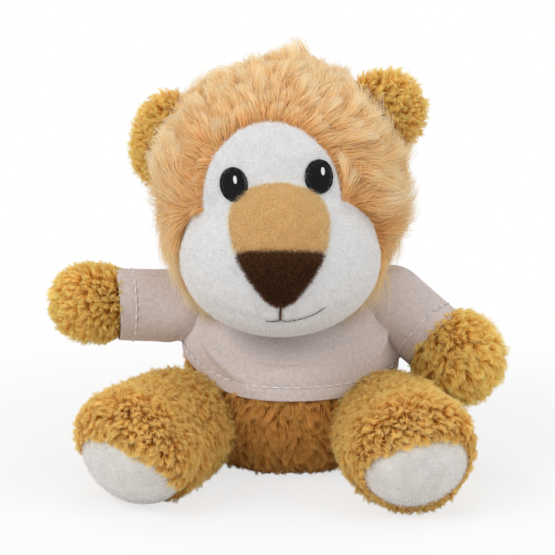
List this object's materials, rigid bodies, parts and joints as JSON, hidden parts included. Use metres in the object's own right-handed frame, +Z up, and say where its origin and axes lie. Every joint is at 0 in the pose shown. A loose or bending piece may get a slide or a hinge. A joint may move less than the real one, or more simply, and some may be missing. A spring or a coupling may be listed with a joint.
{
  "type": "plush lion",
  "caption": "Sitting stuffed lion with a shaggy mane, a big white muzzle, curly golden limbs and a plain short-sleeved T-shirt.",
  "frame": {"origin": "centre of the seat under the body, on the surface that the lion sits on", "axes": "+Z up, the lion faces -Y, its right side is at -X"},
  "size_m": [0.1553, 0.1606, 0.1429],
  "materials": {
    "golden_plush": "curly pile",
    "mane_plush": "long soft pile",
    "white_plush": "short velvety pile",
    "tan_plush": "short velvety pile",
    "brown_plush": "short velvety pile",
    "black_thread": "satin stitch",
    "cotton_jersey": "plain knit",
    "stuffing": "loose fibre"
  },
  "bodies": {
    "torso": {"torso_skin": "golden_plush", "torso_filling": "stuffing", "shirt_front": "cotton_jersey", "shirt_back": "cotton_jersey", "shirt_neck_band": "cotton_jersey"},
    "neck": {"neck_filling": "stuffing"},
    "head": {"mane_skin": "mane_plush", "face_panel": "white_plush", "head_filling": "stuffing", "eye_right": "black_thread", "eye_left": "black_thread", "muzzle_skin": "white_plush", "nose_bridge": "tan_plush", "nose_tip": "brown_plush", "chin_panel": "white_plush", "muzzle_filling": "stuffing"},
    "ear_right": {"ear_right": "golden_plush"},
    "ear_left": {"ear_left": "golden_plush"},
    "arm_right": {"arm_right_skin": "golden_plush", "arm_right_filling": "stuffing", "sleeve_right": "cotton_jersey"},
    "arm_left": {"arm_left_skin": "golden_plush", "arm_left_filling": "stuffing", "sleeve_left": "cotton_jersey"},
    "leg_right": {"leg_right_skin": "golden_plush", "leg_right_filling": "stuffing", "sole_right": "white_plush"},
    "leg_left": {"leg_left_skin": "golden_plush", "leg_left_filling": "stuffing", "sole_left": "white_plush"},
    "tail": {"tail": "golden_plush", "tail_tuft": "mane_plush"}
  },
  "joints": [
    {"name": "neck_turn", "type": "hinge", "parent": "torso", "child": "neck", "pos_m": [-0.001, -0.005, 0.054], "axis": [0, 0, 1], "range_deg": [-25, 25], "stiffness_Nm_per_rad": 0.12},
    {"name": "head_nod", "type": "hinge", "parent": "neck", "child": "head", "pos_m": [-0.001, -0.005, 0.058], "axis": [1, 0, 0], "range_deg": [-7, 7], "stiffness_Nm_per_rad": 0.4},
    {"name": "ear_right_flex", "type": "hinge", "parent": "head", "child": "ear_right", "pos_m": [-0.03876, 0.00517, 0.11662], "axis": [0.3247, -0.2537, 0.9112], "range_deg": [-15, 15], "stiffness_Nm_per_rad": 0.02},
    {"name": "ear_left_flex", "type": "hinge", "parent": "head", "child": "ear_left", "pos_m": [0.03416, -0.00444, 0.12487], "axis": [0.5726, 0.1217, -0.8107], "range_deg": [-15, 15], "stiffness_Nm_per_rad": 0.02},
    {"name": "arm_right_raise", "type": "hinge", "parent": "torso", "child": "arm_right", "pos_m": [-0.0355, -0.001, 0.0545], "axis": [0.1736, -0.9848, 0], "range_deg": [-15, 35], "stiffness_Nm_per_rad": 0.05},
    {"name": "arm_left_raise", "type": "hinge", "parent": "torso", "child": "arm_left", "pos_m": [0.037, -0.001, 0.0545], "axis": [0.5, 0.866, 0], "range_deg": [-35, 0], "stiffness_Nm_per_rad": 0.05},
    {"name": "leg_right_lift", "type": "hinge", "parent": "torso", "child": "leg_right", "pos_m": [-0.037, -0.024, 0.0185], "axis": [-0.9336, 0.3584, 0], "range_deg": [0, 18], "stiffness_Nm_per_rad": 0.05},
    {"name": "leg_left_lift", "type": "hinge", "parent": "torso", "child": "leg_left", "pos_m": [0.037, -0.027, 0.0185], "axis": [-0.9877, -0.1564, 0], "range_deg": [0, 18], "stiffness_Nm_per_rad": 0.05},
    {"name": "tail_swing", "type": "hinge", "parent": "torso", "child": "tail", "pos_m": [0.002, 0.0293, 0.0041], "axis": [0, 0, 1], "range_deg": [-30, 30], "stiffness_Nm_per_rad": 0.01}
  ]
}
